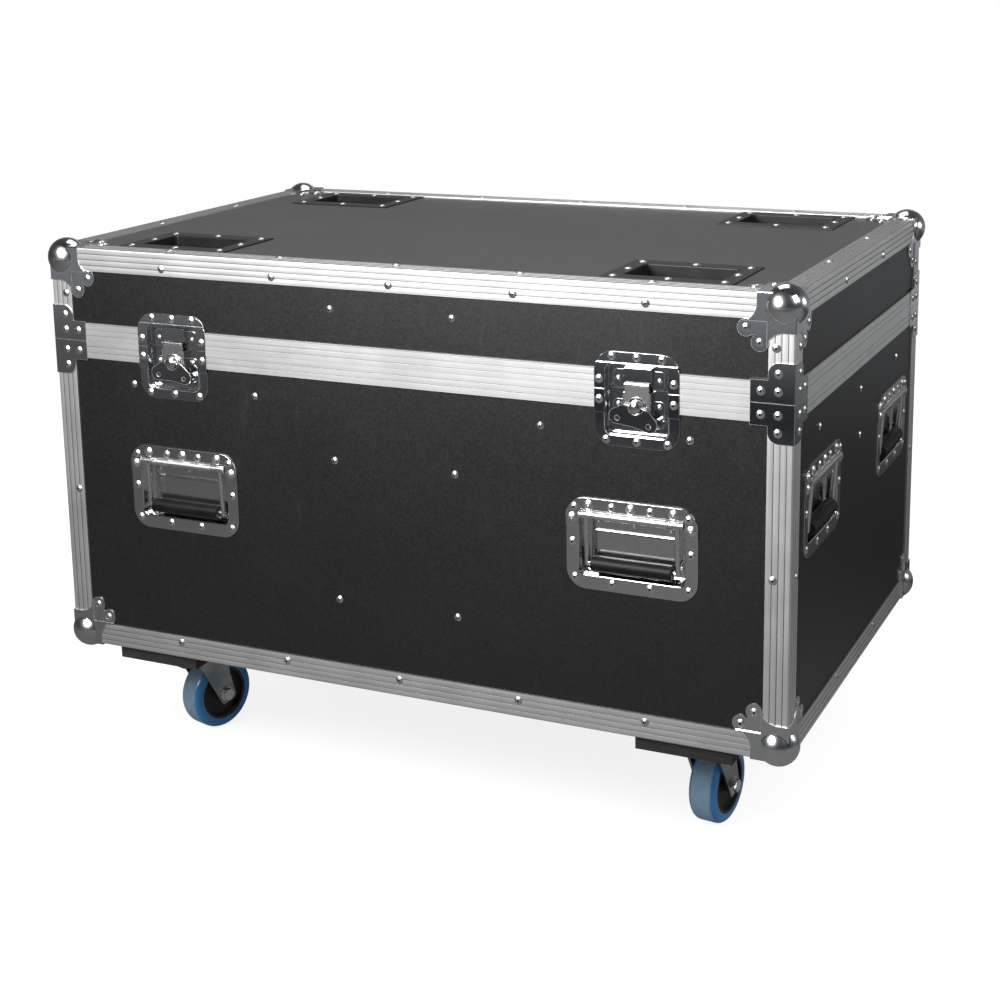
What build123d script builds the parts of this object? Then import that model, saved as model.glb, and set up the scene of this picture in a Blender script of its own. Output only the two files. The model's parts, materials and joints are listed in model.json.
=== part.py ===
from build123d import *
import os
from math import cos, radians, sin, sqrt

os.makedirs("parts", exist_ok=True)

# Lengths are in millimetres. X runs along the width, -Y is the front, +Z is up,
# and the origin is on the floor under the middle of the case.

# Driving sizes of the case
case_width = 1000
case_depth = 630
body_height = 545
lid_height = 123
panel_t = 9
overrun = 40

# Aluminium edge and closing profiles
profile_flange = 30
profile_t = 2
profile_round = 1.6
groove_pitch = 7.5
groove_w = 1.1
groove_d = 0.6
band_groove_w = 0.9
band_groove_d = 0.3
band_lid_h = 24
band_base_h = 23
closing_web_t = 1.5
closing_depth = 13
closing_inner_t = 1.8
closing_inner_h = 12
channel_inset = 2.8
channel_w = 7.4
channel_d = 6
tongue_slot_w = 4.4
tongue_slot_d = 4.5
tongue_side_gap = 0.3
tongue_tip_gap = 0.5
panel_seat_gap = 0.2
profile_end_gap = 0.3

# Ball corners
ball_r = 25
ball_inset = 15
plate_t = 1.5
ball_leg = 44
ball_leg_w = 14
neck_bulge = (47, 23.5)
neck_end = (53, 30.1)
lobe_far = 56
lobe_near = 40
lobe_r = 10.3
step_gap = 0.3
ball_profile_gap = 1.5
fold_r = 1.4

# Corner braces at the closing line
brace_arm = 50
brace_leg_w = 29.7
brace_arm_h = 26
brace_leg_h = 46
brace_round = 13
brace_gap = 0.2
brace_rivets = ((17.6, 33.5), (37.5, 13.4), (17.6, 13.4))

# Rivets, screws and bolts
rivet_r = 5
head_rim_h = 0.4
rivet_h = 2
rivet_hole_r = 1.6
rivet_hole_d = 1.5
dome_rivet_r = 6.2
dome_rivet_h = 2.6
small_rivet_r = 3.2
small_rivet_h = 1.6
screw_r = 4.8
screw_h = 2.4
screw_slot_w = 1.1
screw_slot_l = 5
screw_slot_d = 0.9
profile_rivet_inset = 21
long_rivet_inset = 173
end_rivet_inset = 220
base_rivet_drop = 205
lid_rivet_drop = 61

# Spring handles
handle_w = 162.5
handle_h = 112
handle_round = 24
handle_sheet_t = 1.2
handle_rim_r = 0.5
handle_open_half = 65.2
handle_open_low = 38
handle_open_high = 41.3
handle_open_round = 8
handle_recess = 14
handle_lip_r = 1.8
handle_pan_r = 3
handle_front_inset = 190.4
handle_front_drop = 189.3
handle_end_inset = 137
handle_end_drop = 144
cutout_gap = 0.5
pivot_rise = 35.5
pivot_depth = 0.6
knuckle_r = 5
pin_r = 2.5
pin_gap = 0.05
centre_knuckle_half = 22.5
middle_knuckle = (23.5, 43)
end_knuckle = (44, 64)
hinge_plate_gap = 0.4
hinge_ear_drop = 21
arm_x = 56
arm_r = 3.5
grip_drop = 24.6
grip_depth = 5
grip_r = 9.5
grip_half = 50
grip_bore_gap = 0.05
grip_chamfer = 1
back_plate_half = 52
back_plate_t = 2.5
back_plate_z = (12, 30)
back_bead_z = 14
back_bead_r = 2
handle_corner_rivets = (70.6, 43.8, 42.8)
handle_low_rivets = (23.4, 46)
handle_side_rivets = (73.3, 0.9)
handle_top_rivets = (23.8, 47.2)
handle_domes = ((-52.3, 47.6), (0, 47.6), (52.3, 47.6), (-73.3, 30.5), (73.3, 30.5))
handle_small_rivets = ((-45, 25), (0, 25), (45, 25))

# Turning latches
latch_inset = 183.6
latch_w = 103
latch_above = 44
latch_below = 67.8
latch_round = 22
latch_sheet_t = 1.2
latch_open_half = 38
latch_open_above = 29.2
latch_open_below = 53.8
latch_open_round = 8
latch_back_depth = 9.6
latch_pan_r = 2
latch_lip_r = 1.1
latch_rim_r = 0.5
latch_gap = 0.3
latch_fold_above = 31
latch_fold_below = 28.5
spindle_drop = 18.7
spindle_r = 3.5
spindle_gap = 0.05
spindle_end_gap = 0.3
bush_r = 7.5
bush_front = 3.2
hook_half = 14.8
hook_front = 0.7
hook_t = 1.8
hook_top = 5
hook_bottom = 34
hook_bead_r = 1.8
hook_bead_z = 6.8
hook_travel = 8
hook_slot_gap = 0.25
hook_rim_r = 0.6
rail_gap = 0.3
rail_t = 1.5
rail_front = 0.9
rail_z = (3, 42)
rail_foot_half = 31
rail_foot_z = (13, 34)
foot_round = 5
keeper_half = 17
keeper_front = 3.4
keeper_t = 1.6
keeper_rim_r = 1.3
keeper_z = (8, 26)
keeper_foot_half = 31
keeper_foot_z = (1.5, 22)
eye_x = 26
eye_drop = 37.3
eye_r = 6.4
eye_hole_r = 3.8
eye_front = 3
eye_rim_r = 1
collar_r = 11.5
collar_front = -0.6
collar_back = 0.3
collar_rim_r = 0.5
knob_r = 6.6
knob_base_r = 8.2
knob_side_front = -7
knob_dome_h = 2
wing_t = 1.6
wing_axis_depth = -2.9
wing_pin_r = 1
wing_pin_gap = 0.05
ear_r = 2
ear_x = (9.4, 13.4)
wing_cut_r = 9
wing_corner_r = 2
wing_outline = (
    (9.2, 0), (13.6, 0.6), (16, -0.6), (27.6, -9.4), (30, -14.5),
    (28.4, -21.4), (22.6, -25.2), (12, -24), (0, -23.4),
)
wing_hole = (19.3, -17.9)
wing_hole_r = 3
latch_tilts = {"front_right": -11, "front_left": -4.5, "back_right": -8, "back_left": -6}
latch_lid_rivets = ((-30.4, 38.2), (0, 38.2), (30.4, 38.2))
latch_lid_side_rivet = (45.2, 10.9)
latch_base_side_rivet = (45.2, -12.8)
latch_base_rivets = ((-37.6, -60.6), (0, -60.6), (37.6, -60.6))
latch_inner_rivets = ((25, 11.3), (25, -18.8))

# Stacking dishes in the lid
dish_inset_x = 163
dish_inset_y = 97
dish_w = 160.4
dish_d = 124.6
dish_open_w = 118.6
dish_open_d = 75.2
dish_open_round = 5
dish_depth = 22
dish_sheet_t = 1.5
dish_lip_r = 1.2
dish_pan_r = 4
dish_rivet_x = 67.7
dish_rivet_y = 49.8

# Casters and their boards
caster_inset_x = 128
caster_inset_y = 91
caster_height = 132
board_w = 120
board_d = 166
board_t = 18
board_pad_inset = 31
caster_plate_w = 100
caster_plate_d = 85
caster_plate_t = 3
caster_bolt_x = 40
caster_bolt_y = 30
caster_bolt_r = 6.5
caster_bolt_h = 5.3
race_r = 36
race_h = 8
race_gap = 0.5
king_r = 6
king_gap = 0.05
king_head_r = 9
king_head_h = 3.7
fork_race_r = 38
fork_race_h = 8.5
crown_t = 3
crown_half = 36
fork_inner_half = 20
fork_t = 3
fork_leg_top = (-14, 38)
wheel_clearance = 9
wheel_w = 35
tyre_round = 8
tyre_t = 13
hub_rim = 4
hub_recess = 6
hub_boss_r = 10
hub_boss_gap = 0.4
axle_r = 5
axle_gap = 0.05
axle_head_r = 8.5
axle_head_h = 6
trail = 35
fork_leg = ((7.3, 29), (16, -4), (14, -9), (-5, -14.5), (-8.5, -11.5))
caster_angles = {"front_left": 73, "front_right": 83, "back_left": 78, "back_right": 68}

# Inside fittings
partition_t = 9
partition_x = 83
partition_drop = 27
cross_drop = 37
ledge_d = 18
ledge_h = 20
ledge_drop = 53
lid_batten_w = 18
lid_batten_h = 56
foam_t = 10
foam_gap = 0.5

# Panel screws: insets from the ends of a wall, and drops below the seam
ledge_screw_drop = 52.7
front_screw_insets = (120, 304)
end_screw_inset = 118
partition_screw_drops = (124.7, 306.5)
cross_screw_drop = 112.3
lid_screw_rise = 67

# Levels worked out from the sizes above
body_z = caster_height + board_t
top_z = body_z + body_height
seam_z = top_z - lid_height
half_w = case_width / 2
half_d = case_depth / 2
panel_in = profile_t + panel_t
floor_top = body_z + panel_in
base_wall_top = seam_z - channel_d - panel_seat_gap
lid_wall_low = seam_z + closing_web_t + panel_seat_gap
lid_wall_top = top_z - panel_in
spindle_z = seam_z - spindle_drop
latch_x = half_w - latch_inset
dish_x = half_w - dish_inset_x
dish_y = half_d - dish_inset_y
caster_x = half_w - caster_inset_x
caster_y = half_d - caster_inset_y
race_low = caster_height - caster_plate_t - race_h
crown_low = race_low - race_gap - fork_race_h - crown_t
wheel_r = (crown_low - wheel_clearance) / 2
hub_r = wheel_r - tyre_t

sides = {"front": (0, half_d), "right": (90, half_w), "back": (180, half_d), "left": (270, half_w)}
walls = {"front": half_w, "right": half_d, "back": half_w, "left": half_d}
handle_front_x = half_w - handle_front_inset
handle_end_y = half_d - handle_end_inset
handle_front_z = seam_z - handle_front_drop
handle_end_z = seam_z - handle_end_drop
handle_places = {
    "front_left": ("front", -handle_front_x, handle_front_z),
    "front_right": ("front", handle_front_x, handle_front_z),
    "right_front": ("right", -handle_end_y, handle_end_z),
    "right_back": ("right", handle_end_y, handle_end_z),
    "back_right": ("back", -handle_front_x, handle_front_z),
    "back_left": ("back", handle_front_x, handle_front_z),
    "left_back": ("left", -handle_end_y, handle_end_z),
    "left_front": ("left", handle_end_y, handle_end_z),
}
latch_places = {
    "front_left": ("front", -latch_x),
    "front_right": ("front", latch_x),
    "back_right": ("back", -latch_x),
    "back_left": ("back", latch_x),
}
caster_places = {
    "front_left": (-caster_x, -caster_y),
    "front_right": (caster_x, -caster_y),
    "back_left": (-caster_x, caster_y),
    "back_right": (caster_x, caster_y),
}


def save(name, solids):
    """Writes one node's solids to its own file."""
    loose = []
    for piece in solids:
        loose += piece.solids()
    export_step(Compound(loose) if len(loose) > 1 else loose[0], f"parts/{name}.step")


def block(x, y, z):
    """A box between two corners, each axis given as (low, high)."""
    size = [high - low for low, high in (x, y, z)]
    middle = [(high + low) / 2 for low, high in (x, y, z)]
    return Pos(*middle) * Box(*size)


def rod_y(x, z, r, y):
    """A round bar along Y."""
    return Pos(x, (y[0] + y[1]) / 2, z) * Rot(90, 0, 0) * Cylinder(r, y[1] - y[0])


def rod_x(y, z, r, x):
    """A round bar along X."""
    return Pos((x[0] + x[1]) / 2, y, z) * Rot(0, 90, 0) * Cylinder(r, x[1] - x[0])


def disc(x, y, r, z):
    """A round bar along Z."""
    return Pos(x, y, (z[0] + z[1]) / 2) * Cylinder(r, z[1] - z[0])


def strut(start, end, r):
    """A round bar between two points, with a ball at its far end."""
    span = Vector(*end) - Vector(*start)
    plane = Plane(origin=start, z_dir=span)
    return extrude(plane * Circle(r), span.length) + Pos(*end) * Sphere(r)


def wall_plate(outline, depth):
    """A sheet parallel to a wall: an outline drawn as (along, up), and its two depths."""
    front = Plane(origin=(0, depth[1], 0), x_dir=(1, 0, 0), z_dir=(0, -1, 0))
    return extrude(front * outline, depth[1] - depth[0], front.z_dir)


def rounded(x, z, r):
    """A rectangle with rounded corners, given by its low and high edges."""
    return Pos((x[0] + x[1]) / 2, (z[0] + z[1]) / 2) * RectangleRounded(x[1] - x[0], z[1] - z[0], r)


def hollow(outline, depth, r):
    """The space inside a pressed dish, rounded where its sides meet its back."""
    space = wall_plate(outline, depth)
    return fillet(space.faces().sort_by(Axis.Y)[-1].edges(), r)


def outer_rim(sheet, r):
    """Rounds the rim of the outer face of a sheet parallel to a wall."""
    return fillet(sheet.faces().sort_by(Axis.Y)[0].edges(), r)


def outer_folds(shape, axes, r):
    """Rounds a folded plate's outermost edge along each of the axes."""
    folds = []
    for axis in axes:
        spread = Vector(1, 1, 1) - axis.direction
        folds.append(shape.edges().filter_by(axis).sort_by(lambda e: e.center().dot(spread))[0])
    return fillet(folds, r)


def area(x, z):
    """A plain rectangle given by its low and high edges."""
    return Pos((x[0] + x[1]) / 2, (z[0] + z[1]) / 2) * Rectangle(x[1] - x[0], z[1] - z[0])


def on_wall(shape, side):
    """Places a shape drawn with the wall's outer face at y = 0, its inside along +y."""
    turn, reach = sides[side]
    return Rot(0, 0, turn) * Pos(0, -reach, 0) * shape


def four_corners(shape):
    """Places a shape drawn at the front left edge, its inside along +x and +y."""
    spots = ((0, -half_w, -half_d), (90, half_w, -half_d), (180, half_w, half_d), (270, -half_w, half_d))
    return [Pos(x, y, 0) * Rot(0, 0, turn) * shape for turn, x, y in spots]


def flipped(shape):
    """Turns a shape over, so that what pointed up points down."""
    return Rot(180, 0, 0) * shape


# Edge profiles: ribbed angles, mitred where three of them meet
def edge_run(length, both_ends):
    """An angle along +x from a corner at 0, with its flanges inward along +y and +z."""
    flange = (0, profile_flange)
    sheet = (0, profile_t)
    run = (0, length)
    bar = block(run, sheet, flange) + block(run, flange, sheet)
    corner = bar.edges().filter_by(Axis.X).sort_by(lambda e: e.center().Y + e.center().Z)[0]
    bar = fillet(corner, profile_round)
    rib = groove_pitch
    while rib < profile_flange:
        line = (rib - groove_w / 2, rib + groove_w / 2)
        deep = (-groove_w, groove_d)
        bar -= block(run, deep, line) + block(run, line, deep)
        rib += groove_pitch
    far = length - overrun if both_ends else length
    mitre = Polygon((0, 0), (length, 0), (far, overrun), (overrun, overrun), align=None)
    bar &= extrude(mitre, overrun)
    bar &= extrude(Plane.XZ * mitre, -overrun)
    bar -= block((0, ball_inset + ball_profile_gap), (0, overrun), (0, overrun))
    if both_ends:
        bar -= block((length - ball_inset - ball_profile_gap, length), (0, overrun), (0, overrun))
    return bar


def upright(length):
    """A vertical angle at the front left edge, mitred at its foot at z = 0."""
    return Rot(0, 0, -90) * Rot(0, -90, 0) * edge_run(length, False)


def edge_ring():
    """The four horizontal angles round the body's underside, at z = 0."""
    long_run = Pos(-half_w, -half_d, 0) * edge_run(case_width, True)
    end_run = Pos(-half_d, -half_w, 0) * edge_run(case_depth, True)
    return [long_run, Rot(0, 0, 180) * long_run, Rot(0, 0, 90) * end_run, Rot(0, 0, 270) * end_run]


base_uprights = four_corners(upright(seam_z - body_z))
lid_uprights = four_corners(upright(lid_height))
save("base_edge_profiles", [Pos(0, 0, body_z) * piece for piece in edge_ring() + base_uprights])
save("lid_edge_profiles", [Pos(0, 0, top_z) * flipped(piece) for piece in edge_ring() + lid_uprights])


# Closing profiles: the base has a groove, and the lid has the tongue that drops into it
tongue_mid = channel_inset + channel_w / 2
latch_window = latch_open_half + latch_sheet_t + cutout_gap


def closing_run(half, height, in_lid):
    """One mitred length on a wall, from the seam at z = 0 upwards."""
    along = (-half, half)
    clear = half - profile_flange - profile_end_gap
    inner = (closing_depth - closing_inner_t, closing_depth)
    bar = block((-clear, clear), (0, profile_t), (0, height))
    rib = groove_pitch
    while rib < height - band_groove_w:
        line = (rib - band_groove_w / 2, rib + band_groove_w / 2)
        bar -= block(along, (-overrun, band_groove_d), line)
        rib += groove_pitch
    bar += block(along, (profile_t, closing_depth), (0, closing_web_t))
    bar += block((-clear, clear), (0, closing_depth), (0, closing_web_t))
    bar += block(along, inner, (0, closing_inner_h))
    slot = tongue_slot_w / 2
    if not in_lid:
        bar += block(along, (channel_inset, channel_inset + channel_w), (0, channel_d))
        bar -= block(along, (tongue_mid - slot, tongue_mid + slot), (0, tongue_slot_d))
    mitre = Polygon((-half, 0), (half, 0), (half - overrun, overrun), (overrun - half, overrun), align=None)
    bar &= extrude(mitre, overrun)
    if in_lid:
        thin = slot - tongue_side_gap
        tongue = block(along, (tongue_mid - thin, tongue_mid + thin), (tongue_tip_gap - tongue_slot_d, 0))
        bar += tongue & extrude(mitre, overrun, both=True)
    return bar


def closing_set(height, in_lid):
    """The four lengths round the case, cut away where the latches pass."""
    pieces = []
    window = block((-latch_window, latch_window), (-overrun, overrun), (-overrun, overrun))
    for side, half in walls.items():
        run = closing_run(half, height, in_lid)
        for latch_side, x in latch_places.values():
            if latch_side == side:
                run -= Pos(x, 0, 0) * window
        if not in_lid:
            run = Rot(0, 180, 0) * run
        pieces.append(Pos(0, 0, seam_z) * on_wall(run, side))
    return pieces


save("base_closing_profiles", closing_set(band_base_h, False))
save("lid_closing_profiles", closing_set(band_lid_h, True))


# Panels: laminated plywood, cut out for the handles and latches
def handle_cutout(x, z):
    """The hole in a wall behind one handle dish."""
    edge = handle_sheet_t + cutout_gap
    return block(
        (x - handle_open_half - edge, x + handle_open_half + edge),
        (-overrun, overrun),
        (z - handle_open_low - edge, z + handle_open_high + edge),
    )


def wall_panel(side, low, high):
    """One wall between two levels; the long walls cover the ends of the short ones."""
    reach = walls[side] - (profile_t if side in ("front", "back") else panel_in)
    wall = block((-reach, reach), (profile_t, panel_in), (low, high))
    for handle_side, x, z in handle_places.values():
        if handle_side == side and low < z < high:
            wall -= handle_cutout(x, z)
    for latch_side, x in latch_places.values():
        if latch_side == side:
            edge = latch_sheet_t + cutout_gap
            open_z = (seam_z - latch_open_below - edge, seam_z + latch_open_above + edge)
            wall -= block((x - latch_window, x + latch_window), (-overrun, overrun), open_z)
    return on_wall(wall, side)


panel_x = (profile_t - half_w, half_w - profile_t)
panel_y = (profile_t - half_d, half_d - profile_t)
base_floor = block(panel_x, panel_y, (body_z + profile_t, floor_top))
save("base_panels", [base_floor] + [wall_panel(side, floor_top, base_wall_top) for side in walls])

lid_top = block(panel_x, panel_y, (lid_wall_top, top_z - profile_t))
dish_edge = dish_sheet_t + cutout_gap
for x in (-dish_x, dish_x):
    for y in (-dish_y, dish_y):
        lid_top -= block(
            (x - dish_open_w / 2 - dish_edge, x + dish_open_w / 2 + dish_edge),
            (y - dish_open_d / 2 - dish_edge, y + dish_open_d / 2 + dish_edge),
            (lid_wall_top - overrun, top_z),
        )
batten_y = (panel_in - half_d, half_d - panel_in)
battens = []
for x in (-partition_x, partition_x):
    across = (x - lid_batten_w / 2, x + lid_batten_w / 2)
    battens.append(block(across, batten_y, (lid_wall_top - lid_batten_h, lid_wall_top)))
lid_walls = [wall_panel(side, lid_wall_low, lid_wall_top) for side in walls]
save("lid_panels", [lid_top] + lid_walls + battens)


# Ball corners: three pressed plates round a hollow ball
def ball_outline():
    """One plate of the fitting, drawn from the corner along two edges of a face."""
    low = -plate_t
    leg = ball_leg
    start = (leg, ball_leg_w)
    neck = ThreePointArc(start, neck_bulge, neck_end)
    lobes = Polyline(neck_end, (lobe_far, lobe_near), (lobe_near, lobe_far), neck_end[::-1])
    back_neck = ThreePointArc(neck_end[::-1], neck_bulge[::-1], start[::-1])
    rim = Polyline(start[::-1], (low, leg), (low, low), (leg, low), start)
    outline = make_face(neck + lobes + back_neck + rim)
    return outline + Pos(lobe_far, lobe_near) * Circle(lobe_r) + Pos(lobe_near, lobe_far) * Circle(lobe_r)


def ball_corner():
    """The fitting at the front left bottom corner, its inside along +x, +y and +z."""
    outline = ball_outline()
    fold = profile_flange + step_gap
    panel_zone = area((fold, lobe_far * 2), (fold, lobe_far * 2))
    tab_zone = area((fold + plate_t, lobe_far * 2), (fold + plate_t, lobe_far * 2))
    upper = extrude(outline - tab_zone, -plate_t)
    riser = extrude((outline & panel_zone) - tab_zone, profile_t)
    tab = Pos(0, 0, profile_t - plate_t) * extrude(outline & panel_zone, plate_t)
    plate = upper + riser + tab
    plates = plate
    plates += Plane.YZ * plate
    plates += Plane(origin=(0, 0, 0), x_dir=(0, 0, 1), z_dir=(0, 1, 0)) * plate
    plates = outer_folds(plates, (Axis.X, Axis.Y, Axis.Z), fold_r)
    centre = Pos(ball_inset, ball_inset, ball_inset)
    reach = ball_r + overrun
    shell = centre * Sphere(ball_r) - centre * Sphere(ball_r - plate_t)
    tip = block((-reach, ball_inset), (-reach, ball_inset), (-reach, ball_inset))
    outside = shell - block((0, reach), (0, reach), (0, reach))
    plates -= tip
    plates -= centre * Sphere(ball_r - plate_t)
    return plates + outside + (shell & tip)


ball_fittings = four_corners(ball_corner())
save("base_ball_corners", [Pos(0, 0, body_z) * piece for piece in ball_fittings])
save("lid_ball_corners", [Pos(0, 0, top_z) * flipped(piece) for piece in ball_fittings])


# Braces: pressed L plates that wrap each upright edge above and below the seam
def brace():
    """The brace above the seam at the front left edge, with the seam at z = 0."""
    low = -plate_t
    outline = Polygon(
        (low, brace_gap), (brace_arm, brace_gap), (brace_arm, brace_arm_h), (brace_leg_w, brace_arm_h),
        (brace_leg_w, brace_leg_h), (low, brace_leg_h), align=None,
    )
    free_corner = outline.vertices().sort_by(lambda v: v.X + v.Y * 2)[-1]
    outline = fillet(free_corner, brace_round)
    front = wall_plate(outline, (low, 0))
    end_face = Plane(origin=(0, 0, 0), x_dir=(0, 1, 0), z_dir=(1, 0, 0))
    plates = front + extrude(end_face * outline, low)
    return outer_folds(plates, (Axis.Z,), fold_r)


brace_set = four_corners(brace())
save("lid_braces", [Pos(0, 0, seam_z) * piece for piece in brace_set])
save("base_braces", [Pos(0, 0, seam_z) * flipped(piece) for piece in brace_set])


# Handles: a pressed dish, a hinge plate over its top edge, and a sprung bail with a grip
flange_depth = profile_t - handle_sheet_t
hinge_depth = flange_depth - handle_sheet_t
dish_back = profile_t + handle_recess


def handle_dish():
    """The dish, drawn about the handle's middle on the wall."""
    half = handle_w / 2
    tall = handle_h / 2
    wide = handle_open_half
    t = handle_sheet_t
    opening = rounded((-wide, wide), (-handle_open_low, handle_open_high), handle_open_round)
    opening += area((-wide, wide), (0, handle_open_high))
    outer_z = (-handle_open_low - t, handle_open_high + t)
    outer = rounded((-wide - t, wide + t), outer_z, handle_open_round + t)
    outer += area((-wide - t, wide + t), (0, handle_open_high + t))
    flange = rounded((-half, half), (-tall, tall), handle_round)
    dish = outer_rim(wall_plate(flange, (flange_depth, profile_t)), handle_rim_r)
    dish += wall_plate(outer, (flange_depth, dish_back + t))
    dish -= hollow(opening, (flange_depth - overrun, dish_back), handle_pan_r)
    dish = fillet(dish.faces().sort_by(Axis.Y)[0].inner_wires()[0].edges(), handle_lip_r)
    plate_x = (-back_plate_half, back_plate_half)
    plate_front = dish_back - back_plate_t
    dish += block(plate_x, (plate_front, dish_back), back_plate_z)
    return dish + rod_x(plate_front, back_bead_z, back_bead_r, plate_x)


def hinge_plate():
    """The cover plate over the dish's top edge, with the three fixed knuckles."""
    half = handle_w / 2
    tall = handle_h / 2
    low = handle_open_high + hinge_plate_gap
    outline = rounded((-half, half), (-tall, tall), handle_round)
    outline -= area((-half, half), (-tall, hinge_ear_drop))
    outline -= area((-handle_open_half, handle_open_half), (0, low))
    sheet = (hinge_depth, flange_depth)
    plate = outer_rim(wall_plate(outline, sheet), handle_rim_r)
    spans = [(-centre_knuckle_half, centre_knuckle_half)]
    spans += [middle_knuckle, (-middle_knuckle[1], -middle_knuckle[0])]
    for span in spans:
        plate += rod_x(pivot_depth, pivot_rise, knuckle_r, span)
        plate += block(span, sheet, (pivot_rise, low))
    return plate - rod_x(pivot_depth, pivot_rise, pin_r + pin_gap, (-handle_open_half, handle_open_half))


def bail():
    """The steel bail: pivot pin, end knuckles, two arms and the bar inside the grip."""
    frame = rod_x(pivot_depth, pivot_rise, pin_r, (-end_knuckle[1], end_knuckle[1]))
    frame += rod_x(grip_depth, -grip_drop, arm_r, (-arm_x, arm_x))
    for side in (-1, 1):
        x = side * arm_x
        span = sorted((side * end_knuckle[0], side * end_knuckle[1]))
        frame += rod_x(pivot_depth, pivot_rise, knuckle_r, span)
        frame += strut((x, pivot_depth, pivot_rise), (x, grip_depth, -grip_drop), arm_r)
    return frame


def grip():
    """The rubber sleeve on the bail's bar."""
    span = (-grip_half, grip_half)
    sleeve = rod_x(grip_depth, -grip_drop, grip_r, span)
    sleeve = chamfer(sleeve.edges().filter_by(GeomType.CIRCLE), grip_chamfer)
    return sleeve - rod_x(grip_depth, -grip_drop, arm_r + grip_bore_gap, span)


dish_solids = []
for name, (side, x, z) in handle_places.items():
    spot = Pos(x, 0, z)
    dish_solids += [on_wall(spot * handle_dish(), side), on_wall(spot * hinge_plate(), side)]
    save(f"handle_bail_{name}", [on_wall(spot * bail(), side)])
    save(f"handle_grip_{name}", [on_wall(spot * grip(), side)])
save("handle_dishes", dish_solids)


# Latches: dish halves on lid and base, a keeper, a hook, a turning key and a folding wing
def latch_shell(in_lid):
    """Half of the dish, drawn about the seam on the wall."""
    t = latch_sheet_t
    half = latch_w / 2
    wide = latch_open_half
    outline = rounded((-half, half), (-latch_below, latch_above), latch_round)
    opening = rounded((-wide, wide), (-latch_open_below, latch_open_above), latch_open_round)
    outer = rounded(
        (-wide - t, wide + t), (-latch_open_below - t, latch_open_above + t), latch_open_round + t,
    )
    own = (latch_gap / 2, overrun * 2) if in_lid else (-overrun * 2, -latch_gap / 2)
    fold = latch_fold_above if in_lid else -latch_fold_below
    band = (own[0], fold) if in_lid else (fold, own[1])
    strip = (fold, own[1]) if in_lid else (own[0], fold)
    ledge = (fold - t, fold) if in_lid else (fold, fold + t)
    low, deep = -t, latch_back_depth
    raised = wall_plate(outline & area((-half, half), band), (low, 0))
    sunk = wall_plate(outline & area((-half, half), strip), (profile_t - t, profile_t))
    shell = outer_rim(raised, latch_rim_r) + outer_rim(sunk, latch_rim_r)
    shell += wall_plate(outline & area((-half, half), ledge), (low + latch_rim_r, profile_t))
    shell += wall_plate(outer, (low, deep + t))
    shell -= hollow(opening, (low - overrun, deep), latch_pan_r)
    shell = fillet(shell.faces().sort_by(Axis.Y)[0].inner_wires()[0].edges(), latch_lip_r)
    return shell & wall_plate(area((-half, half), own), (low, deep + t))


def latch_base():
    """The base half, with the key's bush, the hook's rails and the padlock eye."""
    deep = latch_back_depth
    dish = latch_shell(False)
    dish += rod_y(0, -spindle_drop, bush_r, (bush_front, deep))
    inner = hook_half + rail_gap
    for rail_x in ((inner, inner + rail_t), (-inner - rail_t, -inner)):
        dish += block(rail_x, (rail_front, deep), (-rail_z[1], -rail_z[0]))
    foot = rounded((-rail_foot_half, rail_foot_half), (-rail_foot_z[1], -rail_foot_z[0]), foot_round)
    dish += wall_plate(foot - area((-inner, inner), (-overrun * 2, 0)), (deep - latch_sheet_t, deep))
    dish += outer_rim(rod_y(eye_x, -eye_drop, eye_r, (eye_front, deep)), eye_rim_r)
    dish -= rod_y(eye_x, -eye_drop, eye_hole_r, (0, deep))
    return dish - rod_y(0, -spindle_drop, spindle_r + spindle_gap, (0, deep))


def keeper():
    """The hood on the lid half that the hook reaches over."""
    x = (-keeper_half, keeper_half)
    hood = outer_rim(block(x, (keeper_front, latch_back_depth), keeper_z), keeper_rim_r)
    foot = rounded((-keeper_foot_half, keeper_foot_half), keeper_foot_z, foot_round)
    hood += wall_plate(foot, (latch_back_depth - latch_sheet_t, latch_back_depth))
    inner_x = (keeper_t - keeper_half, keeper_half - keeper_t)
    return hood - block(inner_x, (keeper_front + keeper_t, overrun), (0, keeper_z[1] - keeper_t))


def hook():
    """The sliding hook: a slotted plate with a rolled bead at its top."""
    depth = (hook_front, hook_front + hook_t)
    plate = outer_rim(block((-hook_half, hook_half), depth, (-hook_bottom, hook_bead_z)), hook_rim_r)
    plate += rod_x(depth[1] - hook_bead_r, hook_bead_z, hook_bead_r, (-hook_half, hook_half))
    r = spindle_r + hook_slot_gap
    slot_z = (-spindle_drop - hook_travel, -spindle_drop)
    plate -= rod_y(0, slot_z[0], r, (-overrun, overrun)) + rod_y(0, slot_z[1], r, (-overrun, overrun))
    return plate - block((-r, r), (-overrun, overrun), slot_z)


def key():
    """The turning key, drawn about its own spindle: spindle, collar, domed knob and wing pins."""
    part = rod_y(0, 0, spindle_r, (collar_back, latch_back_depth - spindle_end_gap))
    part += outer_rim(rod_y(0, 0, collar_r, (collar_front, collar_back)), collar_rim_r)
    knob_plane = Plane(origin=(0, collar_front, 0), x_dir=(1, 0, 0), z_dir=(0, -1, 0))
    knob_high = collar_front - knob_side_front
    part += knob_plane * Cone(knob_base_r, knob_r, knob_high, align=(Align.CENTER, Align.CENTER, Align.MIN))
    dome_r = (knob_r ** 2 + knob_dome_h ** 2) / (2 * knob_dome_h)
    dome = Pos(0, knob_side_front - knob_dome_h + dome_r, 0) * Sphere(dome_r)
    part += dome & rod_y(0, 0, knob_r, (knob_side_front - overrun, knob_side_front))
    return part + rod_x(wing_axis_depth, 0, wing_pin_r, (-ear_x[1], ear_x[1]))


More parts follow.
